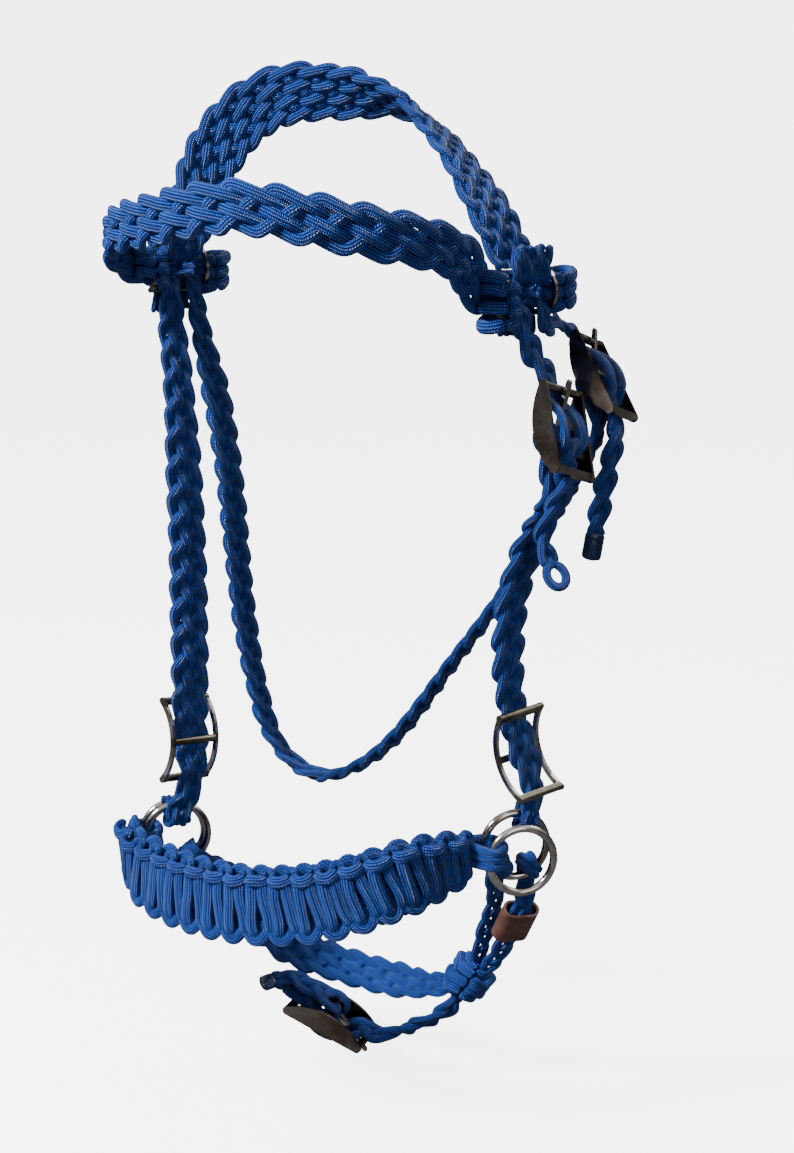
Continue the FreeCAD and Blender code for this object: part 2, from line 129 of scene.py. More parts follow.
def slide(node, up, front):
    a = axes(up, front)
    return (middle(node, a) - a[1] * 4.75, up, front)


CHEEK = buckle("cheek_tongue_turn", UP_CHEEK, FACE_CHEEK)
THROAT = buckle("throat_tongue_turn", UP_THROAT, FACE_THROAT)
CHIN = buckle("chin_tongue_turn", UP_CHIN, FACE_CHIN)
SLIDE_L = slide("slide_left", UP_SLIDE_L, -FACE)
SLIDE_R = slide("slide_right", UP_SLIDE_R, FACE)
RING_L, RING_R = middle("cheek_ring_left"), middle("cheek_ring_right")
REIN_L, REIN_R = middle("rein_ring_left"), middle("rein_ring_right")
KNOT, TAG = middle("chin_knot"), middle("leather_tag")
LOW_L, LOW_R = KEEPER_L - UP * 11, KEEPER_R - UP * 11
TOP_L, TOP_R = KEEPER_L + UP * 11, KEEPER_R + UP * 11


# ------------------------------------------------------------------ strips: centre, face and width
def spline(knots, pts, at):
    """Natural cubic through pts at knots, and its first derivative, at the given places."""
    n = len(knots)
    h = np.diff(knots)
    a = np.eye(n)
    r = np.zeros((n, pts.shape[1]))
    for i in range(1, n - 1):
        a[i, i - 1:i + 2] = [h[i - 1], 2 * (h[i - 1] + h[i]), h[i]]
        r[i] = 6 * ((pts[i + 1] - pts[i]) / h[i] - (pts[i] - pts[i - 1]) / h[i - 1])
    m = np.linalg.solve(a, r)
    k = np.clip(np.searchsorted(knots, at, side="right") - 1, 0, n - 2)
    hk = h[k][:, None]
    u = (at - knots[k])[:, None]
    c1 = (pts[k + 1] - pts[k]) / hk - hk * (2 * m[k] + m[k + 1]) / 6
    c3 = (m[k + 1] - m[k]) / (6 * hk)
    return pts[k] + u * (c1 + u * (m[k] / 2 + u * c3)), c1 + u * (m[k] + u * 3 * c3)


class Strip:
    """A flat strap's centre line with its width and face directions, sampled every 0.75 mm."""

    def __init__(self, rows):
        pts = np.array([r[0] for r in rows])
        look = np.array([r[1] for r in rows])
        wide = np.array([r[2] for r in rows], float)
        knots = np.concatenate([[0], np.cumsum(np.sqrt(np.linalg.norm(np.diff(pts, axis=0), axis=1)))])
        fine = np.linspace(0, knots[-1], 3000)
        p, _ = spline(knots, pts, fine)
        run = np.concatenate([[0], np.cumsum(np.linalg.norm(np.diff(p, axis=0), axis=1))])
        self.length = run[-1]
        count = int(self.length / 0.75) + 2
        self.s = np.linspace(0, self.length, count)
        at = np.interp(self.s, run, fine)
        self.p, d = spline(knots, pts, at)
        self.t = d / np.linalg.norm(d, axis=1)[:, None]
        k = np.clip(np.searchsorted(knots, at, side="right") - 1, 0, len(knots) - 2)
        mix = (at - knots[k]) / (knots[k + 1] - knots[k])
        ease = mix * mix * (3 - 2 * mix)
        n = look[k] * (1 - ease)[:, None] + look[k + 1] * ease[:, None]
        n -= self.t * (n * self.t).sum(1)[:, None]
        self.n = n / np.linalg.norm(n, axis=1)[:, None]
        self.w = np.cross(self.t, self.n)
        self.half = (wide[k] * (1 - ease) + wide[k + 1] * ease) / 2
        turn = np.linalg.norm(np.gradient(self.t, self.s, axis=0), axis=1)
        bend = np.abs((np.gradient(self.t, self.s, axis=0) * self.n).sum(1))
        self.bend = np.maximum(bend, 1e-4)
        self.turn = turn
        self.rows_at = np.interp(knots, at, self.s)

    def get(self, name, s):
        a = getattr(self, name)
        if a.ndim == 1:
            return np.interp(s, self.s, a)
        return np.stack([np.interp(s, self.s, a[:, i]) for i in range(3)], 1)

    def place(self, s, across, out):
        """Points at s along, across the width and out of the face, with the face direction."""
        s = np.asarray(s, float)
        base = self.get("p", s)
        w, n = self.get("w", s), self.get("n", s)
        w /= np.linalg.norm(w, axis=1)[:, None]
        n /= np.linalg.norm(n, axis=1)[:, None]
        return base + w * np.asarray(across)[:, None] + n * np.asarray(out)[:, None], n


def fold(bar, away, side, reach, tail, width, lie=None):
    rows = []
    for degrees in (0, 45, 90, 135, 180):
        a = math.radians(degrees)
        out = side * math.cos(a) - away * math.sin(a)
        rows.append((bar + out * reach, out, width))
    rows.append((bar - side * (reach if lie is None else lie) + away * tail, -side, width))
    return rows


def other_face(rows):
    return [(p, -look, w) for p, look, w in rows]


# ------------------------------------------------------------------ cords
def smooth(a, times):
    for _ in range(times):
        b = a.copy()
        b[1:-1] = (a[:-2] + 2 * a[1:-1] + a[2:]) / 4
        a = b
    return a


class Cords:
    """Collects cords and writes them as one mesh of flattened tubes with sheath coordinates."""

    def __init__(self, name, sides=12):
        self.name, self.sides = name, sides
        self.verts, self.faces, self.uv, self.slots, self.total = [], [], [], [], 0

    def add(self, pts, look, wide=6.2, thick=4.3, step=1.3, round_ends=(True, True), slot=0):
        pts = np.asarray(pts, float)
        count0 = len(pts)
        look = np.broadcast_to(np.asarray(look, float), pts.shape)
        wide = np.broadcast_to(np.asarray(wide, float), (count0,))
        thick = np.broadcast_to(np.asarray(thick, float), (count0,))
        run = np.concatenate([[0], np.cumsum(np.linalg.norm(np.diff(pts, axis=0), axis=1))])
        count = max(6, int(run[-1] / step) + 1)
        s = np.linspace(0, run[-1], count)
        if round_ends[0]:
            s = np.concatenate([[0, 0.25, 0.8], s[1:]]) if s[1] > 0.9 else s
        if round_ends[1]:
            s = np.concatenate([s[:-1], [run[-1] - 0.8, run[-1] - 0.25, run[-1]]]) if run[-1] - s[-2] > 0.9 else s
        s = np.unique(s)
        grab = lambda a: np.stack([np.interp(s, run, a[:, i]) for i in range(3)], 1)
        p, n = grab(pts), grab(look)
        w, h = np.interp(s, run, wide) / 2, np.interp(s, run, thick) / 2
        t = np.gradient(p, s, axis=0)
        t /= np.linalg.norm(t, axis=1)[:, None]
        n = n - t * (n * t).sum(1)[:, None]
        n /= np.maximum(np.linalg.norm(n, axis=1), 1e-6)[:, None]
        b = np.cross(t, n)
        cap = np.ones(len(s))
        for on, d in ((round_ends[0], s), (round_ends[1], s[-1] - s)):
            if on:
                near = np.clip(d / 2.2, 0, 1)
                cap = np.minimum(cap, np.sqrt(np.maximum(1 - (1 - near) ** 2, 0.02)))
        k = self.sides
        ang = np.linspace(0, 2 * math.pi, k, endpoint=False)
        ca, sa = np.cos(ang), np.sin(ang)
        squash = (np.abs(ca) ** 4 + np.abs(sa) ** 4) ** -0.12
        ring = (p[:, None, :] + b[:, None, :] * (w * cap)[:, None, None] * (ca * squash)[None, :, None]
                + n[:, None, :] * (h * cap)[:, None, None] * (sa * squash)[None, :, None])
        base = self.total
        self.verts.append(ring.reshape(-1, 3))
        m = len(s)
        i, j = np.meshgrid(np.arange(m - 1), np.arange(k), indexing="ij")
        j2 = (j + 1) % k
        quads = np.stack([i * k + j, i * k + j2, (i + 1) * k + j2, (i + 1) * k + j], -1).reshape(-1, 4)
        self.faces.append(quads + base)
        off = rng.random()
        u0, u1 = j / k, (j + 1) / k
        v = s / 17.0 + off
        uv = np.stack([np.stack([u0, v[i]], -1), np.stack([u1, v[i]], -1),
                       np.stack([u1, v[i + 1]], -1), np.stack([u0, v[i + 1]], -1)], 2).reshape(-1, 2)
        self.uv.append(uv)
        self.slots.append(np.full(len(quads), slot))
        self.caps = getattr(self, "caps", [])
        self.caps.append((base, k, [base + c for c in range(k)][::-1], v[0], slot))
        self.caps.append((base, k, [base + (m - 1) * k + c for c in range(k)], v[-1], slot))
        self.total += m * k

    def build(self, materials):
        verts = np.concatenate(self.verts) * MM
        faces = [tuple(q) for q in np.concatenate(self.faces).tolist()]
        uv = [np.concatenate(self.uv)]
        slots = [np.concatenate(self.slots)]
        for _, k, loop, v, slot in self.caps:
            faces.append(tuple(loop))
            uv.append(np.stack([np.arange(k) / k, np.full(k, v)], 1))
            slots.append(np.array([slot]))
        me = bpy.data.meshes.new(self.name)
        me.from_pydata(verts.tolist(), [], faces)
        layer = me.uv_layers.new(name="sheath")
        layer.data.foreach_set("uv", np.concatenate(uv).astype(np.float32).ravel())
        me.polygons.foreach_set("use_smooth", np.ones(len(faces), bool))
        for m in materials:
            me.materials.append(m)
        me.polygons.foreach_set("material_index", np.concatenate(slots).astype(np.int32))
        me.update()
        obj = bpy.data.objects.new(self.name, me)
        bpy.context.scene.collection.objects.link(obj)
        return obj


def curve(points, step=0.8):
    """Smooth path through a few points, mm."""
    pts = np.array(points, float)
    knots = np.concatenate([[0], np.cumsum(np.sqrt(np.linalg.norm(np.diff(pts, axis=0), axis=1)))])
    fine = np.linspace(0, knots[-1], 400)
    p, _ = spline(knots, pts, fine)
    run = np.concatenate([[0], np.cumsum(np.linalg.norm(np.diff(p, axis=0), axis=1))])
    s = np.linspace(0, run[-1], max(8, int(run[-1] / step)))
    return np.stack([np.interp(s, run, p[:, i]) for i in range(3)], 1)


def braid(cords, strip, n, s0=0.0, s1=None, cord=6.4, repeat=16.5, slow=0.76, hand=1, over=1, room=None,
          parted=(), phase=0.0, flat=0.7, lift=0.42, wobble=0.25):
    """n cords plaited flat, over one and under one. Each drifts slowly across one way and quickly back."""
    s1 = strip.length if s1 is None else s1
    s = np.arange(s0, s1 + 0.4, 0.8)
    half = strip.get("half", s)
    c = 1.25 / (n * slow)
    wide = np.minimum(cord, c * 2 * half / (1 + c))
    deep = wide * flat / 2 + wide * flat * lift
    tight = 1 / strip.get("bend", s)
    limit = np.where(tight < 14, np.maximum(tight - 2.5, 1.9), 9.0)
    for a, b, h in room or []:
        limit = np.where((s > a) & (s < b), np.minimum(limit, h), limit)
    scale = smooth(np.minimum(1, limit / deep), 8)
    moving, open_by = np.ones(len(s)), np.zeros(len(s))
    for a, b, clear in parted:
        inside = (s > a) & (s < b)
        moving[inside] = 0
        open_by[inside] = clear
    run = np.concatenate([[0], np.cumsum(moving[1:] * np.diff(s))])
    open_by = smooth(open_by, 5)
    for i in range(n):
        q = (run / (n * repeat) + i / n + phase) % 1
        drift = q < slow
        y = np.where(drift, n * q / slow, n * (1 - q) / (1 - slow))
        way = np.where(drift, 1, -1)
        h = way * np.cos(math.pi * y)
        h = np.where(y < 1, -way * np.sin(math.pi * y / 2), h)
        h = np.where(n - y < 1, way * math.cos(math.pi * (n - 1)) * np.sin(math.pi * (n - y) / 2), h)
        h = smooth(np.clip(h * 1.2, -1, 1), 3) * over
        x = smooth(np.clip(1.06 * (2 * y / n - 1), -1, 1), 10) * hand
        jitter = smooth(rng.normal(0, 1, len(s)), 40) * 3 * wobble
        place = x * (half - wide / 2)
        aside = np.where(place < 0, -1, 1) * (open_by + np.abs(place) * np.maximum(0.2, 1 - open_by / half))
        place = np.where(open_by > 0.2, aside, place)
        pts, look = strip.place(s, place + jitter * 0.5, h * wide * flat * lift * scale)
        pts = smooth(pts, 2)
        cords.add(pts, look, wide * (1 + 0.06 * (1 - scale)), wide * flat * scale)


# ------------------------------------------------------------------ materials
def nodes_of(name):
    m = bpy.data.materials.new(name)
    m.use_nodes = True
    t = m.node_tree
    t.nodes.clear()
    out = t.nodes.new("ShaderNodeOutputMaterial")
    bsdf = t.nodes.new("ShaderNodeBsdfPrincipled")
    t.links.new(bsdf.outputs[0], out.inputs[0])
    return m, t, bsdf


def node(t, kind, **values):
    n = t.nodes.new("ShaderNode" + kind)
    for key, value in values.items():
        if key in n.bl_rna.properties:
            setattr(n, key, value)
    return n


def calc(t, op, a, b=None, c=None):
    n = t.nodes.new("ShaderNodeMath")
    n.operation = op
    for i, x in enumerate((a, b, c)):
        if x is None:
            continue
        if isinstance(x, (int, float)):
            n.inputs[i].default_value = x
        else:
            t.links.new(x, n.inputs[i])
    return n.outputs[0]


def ramp(t, fac, stops):
    n = t.nodes.new("ShaderNodeValToRGB")
    e = n.color_ramp.elements
    while len(e) < len(stops):
        e.new(0.5)
    for el, (pos, col) in zip(e, stops):
        el.position = pos
        el.color = (*col, 1)
    t.links.new(fac, n.inputs[0])
    return n.outputs[0]


def noise(t, scale, detail=3.0, coord=None):
    n = t.nodes.new("ShaderNodeTexNoise")
    n.inputs["Scale"].default_value = scale
    n.inputs["Detail"].default_value = detail
    if coord is None:
        coord = t.nodes.new("ShaderNodeTexCoord").outputs["Object"]
    t.links.new(coord, n.inputs["Vector"])
    return n.outputs["Fac"]


def sheath_material(name, groove_shade, mid, light, columns=14):
    """Braided nylon sheath: rows of slanted yarn picks along the cord, in the cord's own coordinates. Its colour
    follows the yarn relief, with painted shade in the grooves between yarns and a painted highlight on the yarn
    crests.
    """
    m, t, bsdf = nodes_of(name)
    uv = t.nodes.new("ShaderNodeUVMap")
    uv.uv_map = "sheath"
    sep = t.nodes.new("ShaderNodeSeparateXYZ")
    t.links.new(uv.outputs[0], sep.inputs[0])
    u, v = sep.outputs[0], sep.outputs[1]
    a = calc(t, "MULTIPLY", u, columns)
    col_id, fu = calc(t, "FLOOR", a), calc(t, "FRACT", a)
    odd = calc(t, "MULTIPLY", calc(t, "FRACT", calc(t, "MULTIPLY", col_id, 0.5)), 2)
    way = calc(t, "SUBTRACT", calc(t, "MULTIPLY", odd, 2), 1)
    slant = calc(t, "MULTIPLY", calc(t, "MULTIPLY", calc(t, "SUBTRACT", fu, 0.5), way), 0.8)
    b = calc(t, "ADD", calc(t, "MULTIPLY", v, 14.5), slant)
    pick = calc(t, "SINE", calc(t, "MULTIPLY", calc(t, "FRACT", b), math.pi))
    ridge = calc(t, "POWER", calc(t, "SINE", calc(t, "MULTIPLY", fu, math.pi)), 0.6)
    height = calc(t, "MULTIPLY", ridge, calc(t, "ADD", 0.35, calc(t, "MULTIPLY", pick, 0.65)))
    big = noise(t, 90, 2)
    fine = noise(t, 2200, 2)
    # Painted shade and highlight: tone rises with the relief height, so grooves go near-black and crests go bright;
    # the two noises add random tone.
    tone = calc(t, "ADD", calc(t, "MULTIPLY", height, 0.74), calc(t, "MULTIPLY", big, 0.2))
    tone = calc(t, "ADD", tone, calc(t, "MULTIPLY", calc(t, "SUBTRACT", fine, 0.5), 0.3))
    # The darkest stop is painted groove shade and the lightest stop is a painted crest highlight.
    col = ramp(t, tone, [(0.28, groove_shade), (0.58, mid), (0.88, light)])
    t.links.new(col, bsdf.inputs["Base Color"])
    bsdf.inputs["Roughness"].default_value = 0.36
    bsdf.inputs["Specular IOR Level"].default_value = 0.4
    bsdf.inputs["Sheen Weight"].default_value = 0.12
    bsdf.inputs["Sheen Roughness"].default_value = 0.4
    bsdf.inputs["Sheen Tint"].default_value = (0.2, 0.42, 1.0, 1)
    bump = t.nodes.new("ShaderNodeBump")
    bump.inputs["Strength"].default_value = 1.0
    bump.inputs["Distance"].default_value = 0.0009
    t.links.new(height, bump.inputs["Height"])
    t.links.new(bump.outputs[0], bsdf.inputs["Normal"])
    return m


def melt_material():
    m, t, bsdf = nodes_of("melted_nylon")
    n = noise(t, 220, 4)
    col = ramp(t, n, [(0.3, (0.002, 0.006, 0.03)), (0.6, (0.006, 0.03, 0.14)), (0.85, (0.02, 0.09, 0.34))])
    t.links.new(col, bsdf.inputs["Base Color"])
    bsdf.inputs["Roughness"].default_value = 0.22
    bump = t.nodes.new("ShaderNodeBump")
    bump.inputs["Distance"].default_value = 0.0008
    t.links.new(n, bump.inputs["Height"])
    t.links.new(bump.outputs[0], bsdf.inputs["Normal"])
    return m


def nickel_material(name, tone, rough):
    m, t, bsdf = nodes_of(name)
    bsdf.inputs["Metallic"].default_value = 1.0
    n = noise(t, 300, 4)
    stain = calc(t, "ADD", calc(t, "MULTIPLY", n, 0.3), calc(t, "MULTIPLY", noise(t, 55, 2), 0.7))
    col = ramp(t, stain, [(0.36, tuple(c * k for c, k in zip(tone, (0.42, 0.36, 0.3)))), (0.62, tone)])
    t.links.new(col, bsdf.inputs["Base Color"])
    scratch = noise(t, 1400, 2)
    t.links.new(calc(t, "ADD", rough, calc(t, "MULTIPLY", scratch, 0.08)), bsdf.inputs["Roughness"])
    bump = t.nodes.new("ShaderNodeBump")
    bump.inputs["Strength"].default_value = 0.12
    bump.inputs["Distance"].default_value = 0.0002
    t.links.new(n, bump.inputs["Height"])
    t.links.new(bump.outputs[0], bsdf.inputs["Normal"])
    return m


def leather_material():
    m, t, bsdf = nodes_of("sleeve_leather")
    pores = t.nodes.new("ShaderNodeTexVoronoi")
    pores.inputs["Scale"].default_value = 1100
    coord = t.nodes.new("ShaderNodeTexCoord").outputs["Object"]
    t.links.new(coord, pores.inputs["Vector"])
    n = noise(t, 160, 5)
    col = ramp(t, n, [(0.25, (0.05, 0.02, 0.016)), (0.55, (0.12, 0.05, 0.038)), (0.85, (0.19, 0.085, 0.066))])
    t.links.new(col, bsdf.inputs["Base Color"])
    bsdf.inputs["Roughness"].default_value = 0.48
    bump = t.nodes.new("ShaderNodeBump")
    bump.inputs["Strength"].default_value = 0.5
    bump.inputs["Distance"].default_value = 0.0003
    t.links.new(pores.outputs["Distance"], bump.inputs["Height"])
    t.links.new(bump.outputs[0], bsdf.inputs["Normal"])
    return m


# Blue cord: the near-black colour is painted shade for the yarn grooves, and the bright blue is a painted highlight
# for the yarn crests.
CORD = sheath_material("blue_cord", (0.0004, 0.0025, 0.018), (0.002, 0.032, 0.27), (0.03, 0.2, 0.95))
MELT = melt_material()
NICKEL = nickel_material("polished_nickel", (0.66, 0.64, 0.62), 0.08)
BAR_NICKEL = nickel_material("worn_nickel", (0.24, 0.22, 0.17), 0.3)
PLATE = nickel_material("buckle_nickel", (0.27, 0.235, 0.21), 0.13)
LEATHER = leather_material()
SOFT = [CORD, MELT]

METAL = ["keeper_left", "keeper_right", "slide_left", "slide_right", "cheek_buckle", "throat_buckle",
         "chin_buckle", "cheek_tongue", "throat_tongue", "chin_tongue", "cheek_ring_left",
         "cheek_ring_right", "rein_ring_left", "rein_ring_right"]
for name in METAL:
    me = NODES[name].data
    me.materials.clear()
    me.materials.append(PLATE if name.endswith("buckle") else NICKEL)


def dull_bars(name, seat, reach):
    """The slides' round bars are duller and browner than their polished rails."""
    me = NODES[name].data
    me.materials.append(BAR_NICKEL)
    for poly in me.polygons:
        along = abs((np.array(poly.center) / MM - seat[0]) @ seat[1])
        if along < 2.6 or abs(along - reach) < 2.6:
            poly.material_index = 1


dull_bars("slide_left", SLIDE_L, 22.5)
dull_bars("slide_right", SLIDE_R, 22.5)
NODES["leather_tag"].data.materials.clear()
NODES["leather_tag"].data.materials.append(LEATHER)

# ------------------------------------------------------------------ the straps' rows
BEND, CROWN_BEND, GAP = 4.8, 5.6, 5.6
WEAVE = 4.6
PULL = 2.4 + WEAVE / 2 + 0.9
LOOSE = BEND + 0.8
RING_GAP = 6.2
RING_DROP = 17.5
HANGS = 4
CROWN = Strip(other_face(fold(TOP_L, UP, FACE, CROWN_BEND, 20, 29))[::-1] + [
    (V(-103, -36, -66), face(-135, -3), 33),
    (V(-95, -16, -31), face(-145, -6), 37),
    (V(-68, -3, -4), face(-162, 6), 37),
    (V(-28, 2, 0), face(178, 30), 37),
    (V(8, -2, -5), face(158, 57), 37),
    (V(43, -18, -27), face(88, 47), 37),
    (V(78, -41, -66), face(62, 22), 35),
] + other_face(fold(TOP_R, UP, -FACE, CROWN_BEND, 14, 30)))
BROW = Strip([
    (KEEPER_L + ACROSS * 25 + FACE * 3, -ACROSS, 20),
    (KEEPER_L + ACROSS * 23 - FACE * 8, unit(FACE * 0.6 - ACROSS), 20),
    (KEEPER_L + ACROSS * 10 - FACE * 15, FACE, 20),
    (KEEPER_L - ACROSS * 8 - FACE * 16, FACE, 24),
    (V(-130, -74, -88), face(80, 0), 27),
    (V(-123, -98, -77), face(112, 0), 28),
    (V(-90, -129, -69), face(145, 0), 30),
    (V(-50, -151, -62), face(162, 0), 30),
    (V(-12, -159, -60), face(180, -4), 30),
    (V(44, -138, -72), face(205, -6), 30),
    (V(76, -88, -88), face(228, 0), 28),
    (KEEPER_R - ACROSS * 22 - FACE * 12, -FACE, 25),
    (KEEPER_R - FACE * 15, -FACE, 20),
    (KEEPER_R + ACROSS * 15 - FACE * 14, unit(ACROSS * 0.5 - FACE), 20),
    (KEEPER_R + ACROSS * 24 - FACE * 5, unit(ACROSS - FACE * 0.4), 20),
    (KEEPER_R + ACROSS * 25 + FACE * 4, ACROSS, 20),
])
CHEEK_L = Strip(fold(LOW_L - ACROSS * 7.4, -UP, FACE, BEND, 14, 14)[::-1] + [
    (V(-111, -49, -128), FACE, 19),
    (V(-108, -50, -152), FACE, 21),
    (V(-102, -55, -230), FACE, 26),
    (V(-99, -60, -287), FACE, 27),
    (spot(SLIDE_L, 0, GAP, 22.5), FACE, 27),
    (spot(SLIDE_L, -1, GAP - 0.8, 0), FACE, 27),
    (spot(SLIDE_L, 0, GAP + 1.6, -23.5), FACE, 19),
] + fold(RING_L + UP * (RING_DROP - HANGS), UP, RING_FACE, RING_GAP, 9, 17, 7))


def threaded(seat):
    front = seat[2]
    heights = ((28, PULL, 20), (20.5, PULL, 21), (8, -2.6, 22), (-9, -2.6, 22), (-20.5, PULL, 20), (-28, PULL, 18))
    return [(spot(seat, 0, back, z), front, wide) for z, back, wide in heights]


BILLET_C = Strip(fold(LOW_R - ACROSS * 7.4, -UP, FACE, LOOSE, 13, 14)[::-1] + [(V(101, -50, -134), FACE, 18)]
                 + threaded(CHEEK) + [(V(121, -70, -222), face(55), 15), (V(117, -71, -238), face(48, 6), 14),
                                      (V(122, -73, -250), face(45, 30), 13)])
BILLET_T = Strip(fold(LOW_R + ACROSS * 8.2, -UP, FACE, LOOSE, 13, 12)[::-1] + [
    (V(107, -34, -128), FACE, 11), (spot(THROAT, -24, 6, 33), face(75, 10), 12),
    (spot(THROAT, -9, 6, 36), FACE_THROAT, 13)] + threaded(THROAT)
    + [(V(143, -26, -193), face(56, 8), 16), (V(138, -27, -218), face(40), 16), (V(134, -28, -241), face(34), 14)])


def hung(seat, width, rows, tail=8):
    bar = spot(seat, 0, 8.2, 0)
    return Strip(other_face(fold(bar, -seat[1], -seat[2], 4.9, tail, width, 4.4))[::-1] + rows)


LEAN = math.radians(68)
TILTED = RING_ACROSS * math.cos(LEAN) + UP * math.sin(LEAN)
CHEEK_R = hung(CHEEK, 20, [
    (spot(CHEEK, 0, 14.2, -22), FACE_CHEEK, 22),
    (V(112, -55, -226), face(64, 8), 23),
    (V(101, -57, -254), FACE, 26),
    (V(95, -62, -296), FACE, 26),
    (spot(SLIDE_R, 0, GAP + 0.6, 22.5), FACE, 23),
    (spot(SLIDE_R, 0.6, GAP + 0.2, 0), FACE, 24),
    (spot(SLIDE_R, 0, GAP + 0.8, -22.5), FACE, 18),
] + fold(RING_R + TILTED * (RING_DROP - 1.5), TILTED, RING_FACE, RING_GAP, 10, 12, 7))
LATCH = hung(THROAT, 17, [
    (spot(THROAT, 0, 14.2, -22), FACE_THROAT, 18),
    (V(122, -12, -206), face(76, 10), 19),
    (V(104, -8, -236), face(76), 20),
    (V(72, 2, -286), face(78), 20),
    (V(36, 12, -334), face(78, -30), 20),
    (V(3, 18, -378), face(70, -45), 20),
    (V(-24, 20, -402), face(40, -75), 20),
    (V(-51, 20, -411), face(-10, -88), 20),
    (V(-74, 18, -398), face(-85, -50), 20),
    (V(-87, 13, -365), face(-105, -18), 20),
    (V(-94, 4, -301), face(-116), 20),
    (V(-94, -8, -237), face(-120), 21),
    (V(-97, -20, -175), face(-122), 21),
    (V(-101, -33, -130), -FACE, 15),
] + other_face(fold(LOW_L + ACROSS * 8.6, -UP, FACE, LOOSE, 13, 11)))
NOSE = Strip([
    (V(-123, -92, -422), face(-88), 27),
    (V(-116, -106, -429), face(-62), 35),
    (V(-94, -120, -436), face(-32, 4), 39),
    (V(-55, -135, -438), face(-16, 6), 39),
    (V(-15, -142, -435), face(0, 8), 39),
    (V(25, -139, -427), face(13, 6), 39),
    (V(58, -124, -416), face(32, 4), 37),
    (V(78, -99, -412), face(52), 28),
    (V(82, -93, -411.5), face(55), 21),
])


def ring_fold(ring, degrees, side, width, tail):
    a = math.radians(degrees)
    out = RING_ACROSS * math.cos(a) + UP * math.sin(a)
    return fold(ring + out * (17.8 - HANGS * 0.7), out, side, 6.2, tail, width, 5.6)


def into_knot(start, depth):
    """Where a strap leaving the knot begins, this deep under the knot's surface."""
    return KNOT + unit(start - KNOT) * (12 - depth)


CHIN_STRAP = Strip(ring_fold(RING_L, -52, RING_FACE, 12, 9)[::-1] + [
    (V(-85, -42, -462), face(52, 18), 20),
    (V(-78, -24, -486), face(42, 26), 28),
    (V(-60, -13, -509), face(25, 36), 28),
    (V(-30, -7, -521), face(6, 48), 26),
    (V(7, -10, -525), face(-8, 48), 25),
    (V(40, -21, -520), face(-20, 40), 17),
    (into_knot(V(40, -21, -520), 6), face(-20, 40), 13),
])
LEG_IN = Strip([
    (into_knot(V(69, -31, -493), 7), face(50, 10), 11),
    (V(69, -31, -493), face(50, 10), 12),
    (V(77, -41, -471), face(45, 5), 14),
    (V(85, -52, -450), face(40), 12),
] + other_face(ring_fold(RING_R, -128, -RING_FACE, 13, 7)))
LEG_OUT = Strip([
    (into_knot(V(78, -34, -496), 7), face(35, 10), 11),
    (V(78, -34, -496), face(35, 10), 12),
    (TAG - UP_LEG * 16, face(42, 8), 15),
    (TAG, face(42, 8), 17),
    (TAG + UP_LEG * 14, face(40, 5), 14),
] + other_face(ring_fold(RING_R, -56, -RING_FACE, 13, 6)))
CHAPE = hung(CHIN, 17, [
    (spot(CHIN, 0, 13.6, -20), FACE_CHIN, 18),
    (spot(CHIN, -3, 13.5, -34), FACE_CHIN, 14),
    (V(-59, -38, -524), FACE_CHIN, 13),
])
ADJUST = Strip([
    (into_knot(V(49, -28, -531), 6), face(10, -20), 12),
    (V(49, -28, -531), face(8, -30), 14),
    (V(32, -30, -542), face(4, -52), 17),
] + threaded(CHIN) + [(spot(CHIN, 0, PULL - 1, -35), FACE_CHIN, 15)])


# ------------------------------------------------------------------ build the braids
def finish(cords, replaces, body=None, blend=None):
    """Build one soft piece in place of its solid, riding one body, or baked in place where a blend is given."""
    obj = cords.build(SOFT)
    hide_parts(*replaces)
    if blend:
        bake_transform(obj)
    else:
        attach(obj, body)
    return obj


def simple(name, strip, n, replaces, body=None, blend=None, extra=None, **kw):
    c = Cords(name)
    braid(c, strip, n, **kw)
    if extra:
        extra(c)
    return finish(c, [replaces], body, blend)


def stack(cords, keeper, across, out, heights, rx, ry, lean=0.0, thick=5.8):
    """Short loops of cord stacked round a keeper's side rail."""
    for h in heights:
        a = np.linspace(-0.35, 2 * math.pi - 0.35, 44)
        tilt = rng.normal(0, 1.5) + lean
        wider, taller = rx * rng.uniform(0.9, 1.1), ry * rng.uniform(0.85, 1.15)
        mid = keeper + ACROSS * (across + rng.normal(0, 0.7)) + FACE * (out + rng.normal(0, 0.5)) + UP * h
        pts = (mid + np.outer(np.cos(a) * wider, FACE) + np.outer(np.sin(a) * taller, ACROSS)
               + np.outer(np.sin(a) * tilt + np.linspace(-1, 1, 44), UP))
        look = np.outer(np.cos(a) * taller, FACE) + np.outer(np.sin(a) * wider, ACROSS)
        cords.add(pts, look, thick, thick * 0.92)


def wraps(cords):
    """The browband's end cords, wrapped round the rails of both keepers."""
    stack(cords, KEEPER_R, 26, -1, (-6.5, 0.3, 7.2), 9.0, 7.4, 3.0, 6.8)
    stack(cords, KEEPER_R, -18.5, 0, (-8.6, -1.8, 5.2), 10.4, 7.8, -3.4, 6.9)
    stack(cords, KEEPER_R, -16, -2, (-15.5,), 8.5, 8.4, 4.5, 7.4)
    stack(cords, KEEPER_L, 26, -2, (-9.5, -2.6, 4.4), 9.0, 7.2, 3.2, 6.8)
    stack(cords, KEEPER_L, -17.5, 1, (-4.5, 2.4, 8.6), 9.2, 6.6, -1.6, 6.6)


def melted(cords, strip, wide, thick, length, sag=0.0):
    """A tail's cord ends fused into one glossy lump."""
    end = strip.p[-1] + strip.t[-1] * (length * 0.45)
    pts = curve([end - strip.t[-1] * length * 0.6, end - UP * sag, end + strip.t[-1] * length * 0.4 - UP * sag])
    cords.add(pts, np.tile(strip.n[-1], (len(pts), 1)), wide, thick, slot=1)


